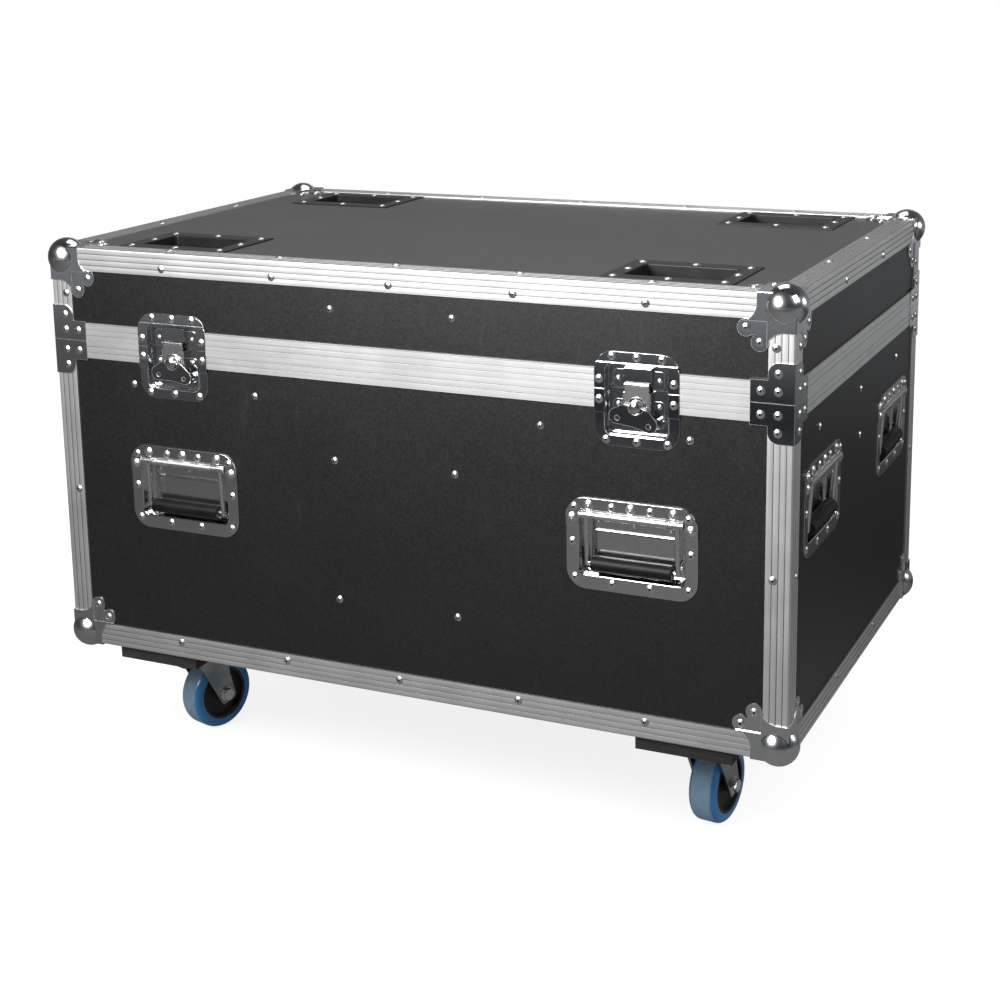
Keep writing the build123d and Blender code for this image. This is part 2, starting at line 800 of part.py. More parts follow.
def wing():
    """The folding butterfly wing, lying flat below the knob."""
    right = list(wing_outline)
    left = [(-x, z) for x, z in reversed(wing_outline[:-1])]
    outline = Polygon(*right, *left, align=None)
    outline = fillet(outline.vertices(), wing_corner_r) - Circle(wing_cut_r)
    outline -= Pos(*wing_hole) * Circle(wing_hole_r) + Pos(-wing_hole[0], wing_hole[1]) * Circle(wing_hole_r)
    plate = wall_plate(outline, (wing_axis_depth - wing_t / 2, wing_axis_depth + wing_t / 2))
    for span in (ear_x, (-ear_x[1], -ear_x[0])):
        plate += rod_x(wing_axis_depth, 0, ear_r, span)
    return plate - rod_x(wing_axis_depth, 0, wing_pin_r + wing_pin_gap, (-ear_x[1], ear_x[1]))


base_dishes = []
lid_dishes = []
for name, (side, x) in latch_places.items():
    spot = Pos(x, 0, seam_z)
    turned = Pos(x, 0, spindle_z) * Rot(0, -latch_tilts[name], 0)
    base_dishes.append(on_wall(spot * latch_base(), side))
    lid_dishes += [on_wall(spot * latch_shell(True), side), on_wall(spot * keeper(), side)]
    save(f"latch_hook_{name}", [on_wall(spot * hook(), side)])
    save(f"latch_key_{name}", [on_wall(turned * key(), side)])
    save(f"latch_wing_{name}", [on_wall(turned * wing(), side)])
save("latch_base_dishes", base_dishes)
save("latch_lid_dishes", lid_dishes)


# Stacking dishes: the wheels of a case on top stand in them
def stacking_dish():
    """A dish with its flange, drawn about its middle with the panel's face at z = 0."""
    t = dish_sheet_t
    opening = RectangleRounded(dish_open_w, dish_open_d, dish_open_round)
    outer = RectangleRounded(dish_open_w + 2 * t, dish_open_d + 2 * t, dish_open_round + t)
    dish = extrude(Rectangle(dish_w, dish_d), t) + extrude(outer, -dish_depth - t)
    space = Pos(0, 0, -dish_depth) * extrude(opening, dish_depth + overrun)
    dish -= fillet(space.faces().sort_by(Axis.Z)[0].edges(), dish_pan_r)
    return fillet(dish.faces().sort_by(Axis.Z)[-1].inner_wires()[0].edges(), dish_lip_r)


dish_z = top_z - profile_t
stacking = [Pos(x, y, dish_z) * stacking_dish() for x in (-dish_x, dish_x) for y in (-dish_y, dish_y)]
save("stacking_dishes", stacking)


# Casters: plate and king pin on a plywood board, swivelling fork, wheel
def caster_plate():
    """The fixed plate with the upper race and the king pin."""
    half_x = caster_plate_w / 2
    half_y = caster_plate_d / 2
    plate_low = caster_height - caster_plate_t
    head = (crown_low - king_gap - king_head_h, crown_low - king_gap)
    plate = block((-half_x, half_x), (-half_y, half_y), (plate_low, caster_height))
    plate += disc(0, 0, race_r, (race_low, plate_low))
    plate += disc(0, 0, king_r, (head[1], race_low))
    return plate + disc(0, 0, king_head_r, head)


def fork():
    """The swivelling fork: lower race, crown and two legs, with its trail along +x."""
    race_top = race_low - race_gap
    crown_top = crown_low + crown_t
    outer = fork_inner_half + fork_t
    part = disc(0, 0, fork_race_r, (crown_top, race_top))
    part += block((-crown_half, crown_half), (-outer, outer), (crown_low, crown_top))
    foot = [(trail + x, wheel_r + z) for x, z in fork_leg]
    leg = Polygon((fork_leg_top[0], crown_top), (fork_leg_top[1], crown_top), *foot, align=None)
    part += wall_plate(leg, (fork_inner_half, outer)) + wall_plate(leg, (-outer, -fork_inner_half))
    part -= disc(0, 0, king_r + king_gap, (0, caster_height))
    return part - rod_y(trail, wheel_r, axle_r + axle_gap, (-overrun, overrun))


def axle():
    """The axle bolt with its head and nut."""
    outer = fork_inner_half + fork_t
    far = outer + axle_head_h
    bolt = rod_y(trail, wheel_r, axle_r, (-far, far))
    hexagon = Pos(trail, wheel_r) * RegularPolygon(axle_head_r, 6)
    return bolt + wall_plate(hexagon, (outer, far)) + wall_plate(hexagon, (-far, -outer))


def hub():
    """The wheel's centre, with a recess and a bearing boss on each side."""
    half = wheel_w / 2
    boss = fork_inner_half - hub_boss_gap
    part = rod_y(trail, wheel_r, hub_r, (-half, half))
    for face in ((half - hub_recess, half), (-half, hub_recess - half)):
        part -= rod_y(trail, wheel_r, hub_r - hub_rim, face)
    part += rod_y(trail, wheel_r, hub_boss_r, (-boss, boss))
    return part - rod_y(trail, wheel_r, axle_r + axle_gap, (-overrun, overrun))


def tyre():
    """The tyre, with rounded shoulders."""
    half = wheel_w / 2
    ring = rod_y(trail, wheel_r, wheel_r, (-half, half))
    ring = fillet(ring.edges().filter_by(GeomType.CIRCLE), tyre_round)
    return ring - rod_y(trail, wheel_r, hub_r, (-half, half))


def caster_board():
    """The plywood board, with a pad that fills the step inside the edge profile."""
    half_x = board_w / 2
    half_y = board_d / 2
    board = block((-half_x, half_x), (-half_y, half_y), (0, board_t))
    front_gap = half_d - caster_y - half_y
    pad_y = (board_pad_inset - front_gap - half_y, half_y)
    return board + block((-half_x, half_x), pad_y, (board_t, board_t + profile_t))


boards = []
plates = []
for name, (x, y) in caster_places.items():
    spot = Pos(x, y, 0)
    turned = spot * Rot(0, 0, caster_angles[name])
    facing = Rot(0, 0, 0 if y < 0 else 180)
    boards.append(spot * Pos(0, 0, caster_height) * facing * caster_board())
    plates.append(spot * Rot(0, 0, 90) * caster_plate())
    save(f"caster_fork_{name}", [turned * fork(), turned * axle()])
    save(f"caster_hub_{name}", [turned * hub()])
    save(f"caster_tyre_{name}", [turned * tyre()])
save("caster_boards", boards)
save("caster_plates", plates)


# Inside: partitions, the ledges round each bay, and foam on the floor
inner_x = half_w - panel_in
inner_y = half_d - panel_in
woodwork = []
foam = []
part_half = partition_t / 2
bay_x = partition_x + part_half
for side in (-1, 1):
    x = side * partition_x
    woodwork.append(
        block((x - part_half, x + part_half), (-inner_y, inner_y), (floor_top, seam_z - partition_drop))
    )
    across = sorted((side * bay_x, side * inner_x))
    woodwork.append(block(across, (-part_half, part_half), (floor_top, seam_z - cross_drop)))
    ledge_mid = seam_z - ledge_drop
    ledge_level = (ledge_mid - ledge_h / 2, ledge_mid + ledge_h / 2)
    for row in (-1, 1):
        long_y = sorted((row * inner_y, row * (inner_y - ledge_d)))
        woodwork.append(block(across, long_y, ledge_level))
        end_x = sorted((side * inner_x, side * (inner_x - ledge_d)))
        end_y = sorted((row * part_half, row * (inner_y - ledge_d)))
        woodwork.append(block(end_x, end_y, ledge_level))
        pad_x = sorted((side * (bay_x + foam_gap), side * (inner_x - foam_gap)))
        pad_y = sorted((row * (part_half + foam_gap), row * (inner_y - foam_gap)))
        foam.append(block(pad_x, pad_y, (floor_top, floor_top + foam_t)))
middle_x = partition_x - part_half - foam_gap
middle_y = inner_y - foam_gap
foam.append(block((-middle_x, middle_x), (-middle_y, middle_y), (floor_top, floor_top + foam_t)))
save("base_partitions", woodwork)
save("base_foam", foam)


# Fasteners: heads seated on the sheet that each one holds
def dome_head(r, h):
    """A domed head with a short straight rim, standing on z = 0."""
    rise = h - head_rim_h
    ball = (r ** 2 + rise ** 2) / (2 * rise)
    return Pos(0, 0, h - ball) * Sphere(ball) & disc(0, 0, r, (0, h))


rivet = dome_head(rivet_r, rivet_h) - disc(0, 0, rivet_hole_r, (rivet_h - rivet_hole_d, rivet_h))
dome_rivet = dome_head(dome_rivet_r, dome_rivet_h)
small_rivet = dome_head(small_rivet_r, small_rivet_h)
slot_half = screw_slot_l / 2
slot_thin = screw_slot_w / 2
slot_z = (screw_h - screw_slot_d, screw_h)
screw = dome_head(screw_r, screw_h)
screw -= block((-slot_half, slot_half), (-slot_thin, slot_thin), slot_z)
screw -= block((-slot_thin, slot_thin), (-slot_half, slot_half), slot_z)
bolt_head = extrude(RegularPolygon(caster_bolt_r, 6), -caster_bolt_h)


def wall_head(head, x, z, depth):
    """A head on a wall at a depth from its outer face, its dome outwards."""
    return Pos(x, depth, z) * Rot(90, 0, 0) * head


base_heads = []
lid_heads = []
for side, half in walls.items():
    long_side = side in ("front", "back")
    last = half_w - long_rivet_inset if long_side else half_d - end_rivet_inset
    row = (-last, -last / 2, 0, last / 2, last) if long_side else (-last, last)
    for x in row:
        lid_heads.append(on_wall(wall_head(rivet, x, top_z - profile_rivet_inset, 0), side))
        lid_heads.append(on_wall(Pos(x, profile_rivet_inset, top_z) * rivet, side))
        base_heads.append(on_wall(wall_head(rivet, x, body_z + profile_rivet_inset, 0), side))
    edge = half - profile_rivet_inset
    tab = profile_t - plate_t
    for sign in (-1, 1):
        base_heads.append(on_wall(wall_head(rivet, sign * edge, seam_z - base_rivet_drop, 0), side))
        lid_heads.append(on_wall(wall_head(rivet, sign * edge, top_z - lid_rivet_drop, 0), side))
        for in_edge, up in brace_rivets:
            x = sign * (half - in_edge)
            lid_heads.append(on_wall(wall_head(rivet, x, seam_z + up, -plate_t), side))
            base_heads.append(on_wall(wall_head(rivet, x, seam_z - up, -plate_t), side))
        for in_edge, up in ((lobe_far, lobe_near), (lobe_near, lobe_far)):
            x = sign * (half - in_edge)
            lid_heads.append(on_wall(wall_head(rivet, x, top_z - up, tab), side))
            base_heads.append(on_wall(wall_head(rivet, x, body_z + up, tab), side))
            if long_side:
                lid_heads.append(on_wall(Pos(x, up, top_z - tab) * rivet, side))
                base_heads.append(on_wall(Pos(x, up, body_z + tab) * flipped(rivet), side))
    if long_side:
        screw_spots = [(half_w - inset, ledge_screw_drop) for inset in front_screw_insets]
        screw_spots += [(partition_x, drop) for drop in partition_screw_drops]
    else:
        screw_spots = [(half_d - end_screw_inset, ledge_screw_drop)]
        for drop in (ledge_screw_drop, cross_screw_drop):
            base_heads.append(on_wall(wall_head(screw, 0, seam_z - drop, profile_t), side))
    for x, drop in screw_spots:
        for sign in (-1, 1):
            base_heads.append(on_wall(wall_head(screw, sign * x, seam_z - drop, profile_t), side))
    if long_side:
        for x in (-partition_x, partition_x):
            lid_heads.append(on_wall(wall_head(screw, x, seam_z + lid_screw_rise, profile_t), side))

for side, x, z in handle_places.values():
    corner_x, corner_up, corner_down = handle_corner_rivets
    for sign in (-1, 1):
        heads = [
            (rivet, sign * corner_x, corner_up, hinge_depth),
            (rivet, sign * corner_x, -corner_down, flange_depth),
            (rivet, sign * handle_low_rivets[0], -handle_low_rivets[1], flange_depth),
            (rivet, sign * handle_side_rivets[0], handle_side_rivets[1], flange_depth),
            (rivet, sign * handle_top_rivets[0], handle_top_rivets[1], hinge_depth),
        ]
        base_heads += [on_wall(wall_head(h, x + dx, z + dz, d), side) for h, dx, dz, d in heads]
    for dx, dz in handle_domes:
        base_heads.append(on_wall(wall_head(dome_rivet, x + dx, z + dz, hinge_depth), side))
    for dx, dz in handle_small_rivets:
        depth = dish_back - back_plate_t
        base_heads.append(on_wall(wall_head(small_rivet, x + dx, z + dz, depth), side))

for side, x in latch_places.values():
    strip = profile_t - latch_sheet_t
    for dx, dz in latch_lid_rivets:
        lid_heads.append(on_wall(wall_head(rivet, x + dx, seam_z + dz, strip), side))
    for dx, dz in latch_base_rivets:
        base_heads.append(on_wall(wall_head(rivet, x + dx, seam_z + dz, strip), side))
    for sign in (-1, 1):
        for heads, kind, place, depth in (
            (lid_heads, rivet, latch_lid_side_rivet, -latch_sheet_t),
            (base_heads, rivet, latch_base_side_rivet, -latch_sheet_t),
            (lid_heads, small_rivet, latch_inner_rivets[0], latch_back_depth - latch_sheet_t),
            (base_heads, small_rivet, latch_inner_rivets[1], latch_back_depth - latch_sheet_t),
        ):
            heads.append(on_wall(wall_head(kind, x + sign * place[0], seam_z + place[1], depth), side))

for x in (-dish_x, dish_x):
    for y in (-dish_y, dish_y):
        for dx in (-dish_rivet_x, 0, dish_rivet_x):
            for dy in (-dish_rivet_y, 0, dish_rivet_y):
                if dx or dy:
                    lid_heads.append(Pos(x + dx, y + dy, dish_z + dish_sheet_t) * rivet)

for x, y in caster_places.values():
    for dx in (-caster_bolt_y, caster_bolt_y):
        for dy in (-caster_bolt_x, caster_bolt_x):
            base_heads.append(Pos(x + dx, y + dy, caster_height - caster_plate_t) * bolt_head)

save("base_fasteners", base_heads)
save("lid_fasteners", lid_heads)
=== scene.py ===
import json
from math import pi

import bmesh
import bpy
from mathutils import Matrix, Vector


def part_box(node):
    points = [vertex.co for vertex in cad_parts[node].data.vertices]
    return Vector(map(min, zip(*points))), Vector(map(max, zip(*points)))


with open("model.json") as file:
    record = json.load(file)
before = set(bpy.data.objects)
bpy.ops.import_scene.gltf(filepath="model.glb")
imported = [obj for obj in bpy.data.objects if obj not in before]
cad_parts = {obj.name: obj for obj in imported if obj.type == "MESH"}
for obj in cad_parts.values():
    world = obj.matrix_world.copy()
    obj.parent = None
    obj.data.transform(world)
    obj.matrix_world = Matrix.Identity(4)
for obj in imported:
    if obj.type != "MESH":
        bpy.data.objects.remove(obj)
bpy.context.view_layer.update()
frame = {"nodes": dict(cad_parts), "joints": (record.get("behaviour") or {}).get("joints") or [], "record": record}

# Metres throughout. X runs along the width, -Y is the front and +Z is up.
case_low, case_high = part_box("base_edge_profiles")
half_w = case_high.x
half_d = case_high.y
body_z = case_low.z
seam_z = case_high.z
top_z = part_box("lid_edge_profiles")[1].z

# The edge profiles: their width, the spacing of their ribs, and how deep under the
# outermost face a groove starts and ends.
flange = 0.030
rib_pitch = 0.0075
groove_start = 0.0001
groove_end = 0.0008
# The sheet of the dishes and corners: the width of the painted light and shade along an edge, and how far under or
# over the case's outer faces a dish has sunk in and a ball stands out.
painted_edge_width = 0.0012
dish_start, dish_end = 0.0025, 0.0040
ball_start, ball_end = -0.0018, -0.0030
# The curled knuckle of a handle's hinge plate.
knuckle_r = 0.005
# A wheel: where its side wall turns into tread, and its axle bolt.
tread_r = 0.0488
bolt_r = 0.0095
# One layer of the caster boards' plywood.
veneer = 0.0015


# Writing shaders
class Value:
    """What comes out of a node. Sums and products on it add Math nodes."""

    def __init__(self, board, socket):
        self.board = board
        self.socket = socket

    def maths(self, operation, first, second=0.0, clamp=False):
        settings = {"operation": operation, "use_clamp": clamp}
        return self.board.node("ShaderNodeMath", settings, {0: first, 1: second})

    def __add__(self, other):
        return self.maths("ADD", self, other)

    def __sub__(self, other):
        return self.maths("SUBTRACT", self, other)

    def __rsub__(self, other):
        return self.maths("SUBTRACT", other, self)

    def __mul__(self, other):
        return self.maths("MULTIPLY", self, other)

    def __truediv__(self, other):
        return self.maths("DIVIDE", self, other)

    def __gt__(self, other):
        return self.maths("GREATER_THAN", self, other)

    def __lt__(self, other):
        return self.maths("LESS_THAN", self, other)

    def __abs__(self):
        return self.maths("ABSOLUTE", self)

    __radd__ = __add__
    __rmul__ = __mul__

    def held(self):
        """The value kept between 0 and 1."""
        return self.maths("ADD", self, 0.0, clamp=True)

    def least(self, other):
        """The smaller of two values."""
        return self.maths("MINIMUM", self, other)

    def sine(self):
        return self.maths("SINE", self)

    def to_and_fro(self, span):
        """The value folded back and forth between 0 and a span."""
        return self.maths("PINGPONG", self, span)


class NodeBoard:
    """The nodes of a material or a world, put together round its one shader."""

    def __init__(self, owner, shader):
        owner.use_nodes = True
        self.owner = owner
        self.tree = owner.node_tree
        self.shader = self.tree.nodes[shader]

    @staticmethod
    def socket(group, key):
        if isinstance(key, int):
            return group[key]
        return next(s for s in group if s.name == key and s.enabled)

    def put(self, socket, value):
        """Sets a socket, or links it where the value comes from a node."""
        if isinstance(value, Value):
            self.tree.links.new(value.socket, socket)
        elif socket.type == "RGBA" and len(value) == 3:
            socket.default_value = (*value, 1.0)
        else:
            socket.default_value = value

    def node(self, kind, settings=(), sockets=(), output=0):
        """Adds a node: its settings first, then its sockets. Gives one of its outputs."""
        made = self.tree.nodes.new(kind)
        settings = dict(settings)
        stops = settings.pop("stops", ())
        for name, value in settings.items():
            setattr(made, name, value)
        for end, (place, colour) in enumerate(stops):
            made.color_ramp.elements[end].position = place
            made.color_ramp.elements[end].color = (*colour, 1.0)
        for key, value in dict(sockets).items():
            self.put(self.socket(made.inputs, key), value)
        return Value(self, self.socket(made.outputs, output))

    def between(self, value, low, high, new_low=0.0, new_high=1.0):
        """Maps a value from one span onto another, held at both ends."""
        old = {"Value": value, "From Min": low, "From Max": high}
        new = {"To Min": new_low, "To Max": new_high}
        return self.node("ShaderNodeMapRange", (), {**old, **new})

    def shown(self):
        """1 to the rays that see the white background: by camera, metal and glass."""
        rays = 0.0
        for kind in ("Camera", "Glossy", "Transmission"):
            rays = self.node("ShaderNodeLightPath", output="Is " + kind + " Ray") + rays
        return rays.held()

    def wear(self, **sockets):
        """Sets or joins the shader's own sockets."""
        for name, value in sockets.items():
            self.put(self.shader.inputs[name.replace("_", " ")], value)
        return self.owner


class Finish(NodeBoard):
    """A material. It starts from what stays the same all over it."""

    def __init__(self, name, **constants):
        super().__init__(bpy.data.materials.new(name), "Principled BSDF")
        self.wear(**constants)

    def place(self):
        """The point on the object, in metres."""
        return self.node("ShaderNodeTexCoord", output="Object")

    def split(self, vector):
        """A vector's x, y and z."""
        parts = self.node("ShaderNodeSeparateXYZ", (), {0: vector})
        return [Value(self, part) for part in parts.socket.node.outputs]

    def axes(self):
        """The point's x, y and z."""
        return self.split(self.place())

    def own_normal(self):
        """The face's own normal, before it is eased or bumped."""
        return self.node("ShaderNodeNewGeometry", output="True Normal")

    def facing(self):
        """How far the face's own normal points along x, y and z."""
        return self.split(self.own_normal())

    def vector_maths(self, operation, first, second, output=0):
        settings = {"operation": operation}
        return self.node("ShaderNodeVectorMath", settings, {0: first, 1: second}, output)

    def reach(self, joint):
        """The distance from a joint's axis."""
        hinge = next(j for j in frame["joints"] if j["name"] == joint)
        spot = self.vector_maths("SUBTRACT", self.place(), hinge["pos_m"])
        arm = self.vector_maths("CROSS_PRODUCT", spot, hinge["axis"])
        return self.vector_maths("LENGTH", arm, (0.0, 0.0, 0.0), output="Value")

    def stretched(self, scale):
        """The point with each axis scaled, to draw a pattern out along the smallest."""
        return self.vector_maths("MULTIPLY", self.place(), scale)

    def noise(self, scale, detail=3.0, vector=None):
        sockets = {"Scale": scale, "Detail": detail, "Roughness": 0.55}
        sockets["Vector"] = vector or self.place()
        return self.node("ShaderNodeTexNoise", (), sockets, output="Fac")

    def cells(self, scale):
        """Round cells: how far the point is from the nearest cell's middle."""
        sockets = {"Scale": scale, "Vector": self.place()}
        return self.node("ShaderNodeTexVoronoi", (), sockets, output="Distance")

    def ramp(self, value, *stops):
        """A colour read from a value, between two stops of (place, colour)."""
        return self.node("ShaderNodeValToRGB", {"stops": stops}, {0: value}, output="Color")

    def pick(self, mask, held, other):
        """One value where the mask is 1, and another where it is 0."""
        return mask * held + (1.0 - mask) * other

    def mix(self, mask, first, second):
        """One colour laid over another where the mask is 1."""
        sockets = {"Factor": mask, "A": first, "B": second}
        return self.node("ShaderNodeMix", {"data_type": "RGBA"}, sockets, output="Result")

    def bump(self, height, distance, strength=1.0, normal=None):
        sockets = {"Height": height, "Distance": distance, "Strength": strength}
        if normal:
            sockets["Normal"] = normal
        return self.node("ShaderNodeBump", (), sockets)

    def eased(self, radius):
        """A normal that rounds each sharp edge by a radius."""
        return self.node("ShaderNodeBevel", {"samples": 6}, {"Radius": radius})

    def rims(self, radius):
        """A mask of sharp edges: where a rounded normal leaves the face's own."""
        eased = self.eased(radius)
        turn = self.vector_maths("DOT_PRODUCT", eased, self.own_normal(), output="Value")
        return self.between(turn, 0.80, 0.97, 1.0, 0.0)


# Finishes
def laminate():
    """Dark phenolic skin with a fine pebble, faintly scuffed, and lighter on top by a painted sheen."""
    f = Finish("laminate", Specular_IOR_Level=0.85)
    pebble = f.cells(900.0)
    fine = f.noise(1600.0, 2.0)
    cloud = f.noise(7.0)
    scuff = f.between(f.noise(60.0, 5.0, f.stretched((1.0, 1.0, 0.22))), 0.62, 0.78)
    tone = (pebble * 0.5 + fine * 0.6 + cloud * 0.5) / 1.6
    colour = f.ramp(tone, (0.25, (0.0018, 0.0018, 0.0019)), (0.75, (0.0050, 0.0049, 0.0050)))
    colour = f.mix(scuff * 0.2, colour, (0.014, 0.014, 0.014))
    # Painted sheen: faces that look up are lightened, mottled by the cloud.
    upward = f.facing()[2] > 0.5
    painted_top_sheen = upward * f.between(cloud, 0.2, 0.8, 0.7, 1.0)
    colour = f.mix(painted_top_sheen, colour, (0.070, 0.070, 0.071))
    mottle = f.between(f.noise(420.0, 2.0), 0.35, 0.65)
    rough = 0.335 + mottle * 0.07 + cloud * 0.05 + scuff * 0.06
    normal = f.bump(pebble * 0.6 + fine * 0.4, 0.00012, 0.45)
    return f.wear(Base_Color=colour, Roughness=rough, Normal=normal)


def groove_shade(f, x, y, nx, ny):
    """A mask of painted shade on the floors and steep sides of each groove that runs along the profiles, stronger
    where deeper.
    """
    masks = []
    for depth, turn in ((half_d - abs(y), abs(ny)), (half_w - abs(x), abs(nx))):
        square = (turn > 0.99) + (turn < 0.01)
        shallow = f.between(depth, 0.0002, 0.0005, 0.35, 1.0)
        within = (depth > groove_start) * (depth < groove_end)
        masks.append(within * square * shallow)
    return (masks[0] + masks[1]).held()


def extruded():
    """Satin aluminium, drawn along each profile's length, with soft ribs and fine die lines, and painted shade on
    its upward faces and in its grooves.
    """
    f = Finish("extruded_aluminium", Metallic=1.0)
    x, y, z = f.axes()
    upright = (abs(x) > half_w - flange) * (abs(y) > half_d - flange)
    along_x = (abs(y) > half_d - flange) * (1.0 - upright)
    along_y = 1.0 - upright - along_x
    fine, coarse = 1400.0, 5.0
    scale = f.node("ShaderNodeCombineXYZ", (), {
        0: fine - along_x * (fine - coarse),
        1: fine - along_y * (fine - coarse),
        2: fine - upright * (fine - coarse),
    })
    lines = f.noise(1.0, 2.0, f.stretched(scale))
    cloud = f.noise(18.0)
    specks = f.between(f.noise(420.0, 4.0), 0.66, 0.74)

    # Soft ribs, counted from the nearest long edge across the face.
    nx, ny, nz = f.facing()
    from_side = half_w - abs(x)
    from_front = half_d - abs(y)
    from_level = abs(z - body_z).least(abs(z - top_z)).least(abs(z - seam_z))
    on_top = along_x * from_front + along_y * from_side
    on_upright = f.pick(abs(ny) > 0.5, from_side, from_front)
    across = f.pick(upright, on_upright, f.pick(abs(nz) > 0.5, on_top, from_level))
    rib = abs((across * (pi / rib_pitch)).sine())
    closing = (1.0 - upright) * (abs(z - seam_z) < flange * 1.5)
    rib = rib * f.pick(closing, 0.2, 1.0)

    tone = lines * 0.6 + cloud * 0.4
    colour = f.ramp(tone, (0.3, (0.74, 0.74, 0.73)), (0.7, (0.88, 0.885, 0.88)))
    colour = f.mix(specks * 0.25, colour, (0.50, 0.50, 0.49))
    # Painted shade: faces that look straight up are darkened.
    colour = f.mix((nz > 0.9) * 0.85, colour, (0.42, 0.42, 0.41))
    # Painted shade in the grooves.
    colour = f.mix(groove_shade(f, x, y, nx, ny), colour, (0.30, 0.30, 0.30))
    rough = 0.36 + lines * 0.14 + cloud * 0.06
    normal = f.bump(lines, 0.00003, 0.5, f.bump(rib, 0.00014))
    return f.wear(Base_Color=colour, Roughness=rough, Normal=normal)


def plated(name, colour, rough, recess=0.0, proud=0.0, shade=0.0, hinged=False):
    """Bright plated sheet: faint press ripples, fine scratches, and duller edges, painted bright outside a dish
    and dark inside it.

    It is rougher by recess inside a dish and by proud on a ball. Shade paints shade on the
    upright walls of a dish, and hinged dulls the curled knuckles over the handles.
    """
    f = Finish(name, Metallic=1.0)
    waves = f.noise(55.0, 1.0)
    smear = f.noise(130.0, 4.0)
    lines = f.noise(1.0, 2.0, f.stretched((260.0, 260.0, 2600.0)))
    scratch = f.between(lines, 0.60, 0.72)
    smeared = tuple(c * 0.92 for c in colour)
    tint = f.mix(f.between(smear, 0.35, 0.75), colour, smeared)
    x, y, z = f.axes()
    nx, ny, nz = f.facing()
    depth = (half_w - abs(x)).least(half_d - abs(y))
    inside = f.between(depth, dish_start, dish_end)
    outside = f.between(depth, ball_end, ball_start, 1.0, 0.0)
    roughness = rough + smear * 0.05 + scratch * 0.04 + inside * recess + outside * proud
    # Painted shade on the upright walls inside a dish.
    if shade:
        tint = f.mix(inside * (abs(nz) < 0.5) * shade, tint, (0.36, 0.36, 0.37))
    if hinged:
        flat = (abs(nx) > 0.999) + (abs(ny) > 0.999)
        for bail in ("handle_bail_front_left", "handle_bail_right_front"):
            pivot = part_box(bail)[1].z - knuckle_r
            curled = (abs(z - pivot) < knuckle_r) * (1.0 - flat)
            roughness = roughness + curled * 0.25

    # Painted light on the edges: outer edges are painted bright as a highlight, and edges in a dish's creases are
    # painted dark as shade. Edges are rougher too.
    painted_edge = f.rims(painted_edge_width)
    sunk = f.between(depth, 0.0015, 0.0030)
    tint = f.mix(painted_edge, tint, f.mix(sunk, (0.92, 0.92, 0.92), (0.22, 0.22, 0.22)))
    roughness = roughness + painted_edge * 0.35
    return f.wear(Base_Color=tint, Roughness=roughness, Normal=f.bump(waves, 0.00004, 0.6))


def rivet_steel():
    """Satin rivets, screws and bolts, with painted shade on their flat sunk places."""
    f = Finish("satin_rivet", Metallic=1.0)
    nx, ny, nz = f.facing()
    square = (abs(nx) > 0.9995) + (abs(ny) > 0.9995) + (abs(nz) > 0.9995)
    flat = square * (f.axes()[2] > body_z)
    smear = f.noise(160.0, 4.0)
    colour = f.ramp(smear, (0.3, (0.70, 0.70, 0.69)), (0.7, (0.84, 0.84, 0.83)))
    # Painted shade: flat square-on faces, such as the floors of the rivets' holes, are darkened.
    colour = f.mix(flat.held(), colour, (0.04, 0.04, 0.04))
    normal = f.bump(f.noise(900.0, 2.0), 0.00002, 0.5)
    return f.wear(Base_Color=colour, Roughness=0.26 + smear * 0.12 + flat * 0.2, Normal=normal)


def powder_coat():
    """Black powder coat with its orange peel."""
    f = Finish("black_powder_coat", Specular_IOR_Level=0.5)
    peel = f.noise(420.0, 2.0)
    cloud = f.noise(30.0)
    colour = f.ramp(cloud, (0.3, (0.010, 0.010, 0.011)), (0.7, (0.020, 0.020, 0.021)))
    normal = f.bump(peel, 0.00012, 0.6, f.eased(0.0006))
    return f.wear(Base_Color=colour, Roughness=0.34 + cloud * 0.12, Normal=normal)


def coated_board():
    """Black coated plywood whose sawn edges show their layers."""
    f = Finish("coated_board", Specular_IOR_Level=0.3)
    edge = abs(f.facing()[2]) < 0.5
    height = f.axes()[2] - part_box("caster_boards")[0].z
    layer = height.to_and_fro(veneer) / veneer
    grain = f.noise(1.0, 4.0, f.stretched((60.0, 60.0, 1400.0)))
    seam = f.between(layer, 0.82, 1.0) * f.between(grain, 0.45, 0.7)
    ply = f.ramp(grain, (0.3, (0.020, 0.019, 0.018)), (0.75, (0.060, 0.055, 0.052)))
    ply = f.mix(seam, ply, (0.070, 0.048, 0.032))
    film = f.noise(300.0, 4.0)
    skin = f.ramp(film, (0.35, (0.012, 0.012, 0.012)), (0.7, (0.024, 0.023, 0.022)))
    colour = f.mix(edge, skin, ply)
    normal = f.bump(grain * edge + f.noise(700.0, 2.0) * (1.0 - edge), 0.0002, 0.5)
    return f.wear(Base_Color=colour, Roughness=0.55 + grain * 0.2, Normal=normal)


def birch_ply():
    """Sanded birch plywood with long grain."""
    f = Finish("birch_ply", Specular_IOR_Level=0.35)
    grain = f.noise(1.0, 5.0, f.stretched((14.0, 14.0, 240.0)))
    flecks = f.between(f.noise(1.0, 3.0, f.stretched((160.0, 160.0, 1500.0))), 0.6, 0.75)
    colour = f.ramp(grain, (0.3, (0.42, 0.29, 0.17)), (0.7, (0.60, 0.45, 0.29)))
    colour = f.mix(flecks * 0.3, colour, (0.28, 0.18, 0.10))
    normal = f.bump(grain, 0.0001, 0.5)
    return f.wear(Base_Color=colour, Roughness=0.52 + grain * 0.15, Normal=normal)


def foam_sheet():
    """Charcoal closed-cell foam."""
    f = Finish("foam_sheet", Specular_IOR_Level=0.2)
    cells = f.cells(650.0)
    cloud = f.noise(12.0)
    tone = cells * 0.7 + cloud * 0.3
    colour = f.ramp(tone, (0.2, (0.016, 0.016, 0.017)), (0.8, (0.045, 0.045, 0.047)))
    normal = f.bump(cells, 0.0003, 0.8)
    return f.wear(Base_Color=colour, Roughness=0.86 + cloud * 0.1, Normal=normal)


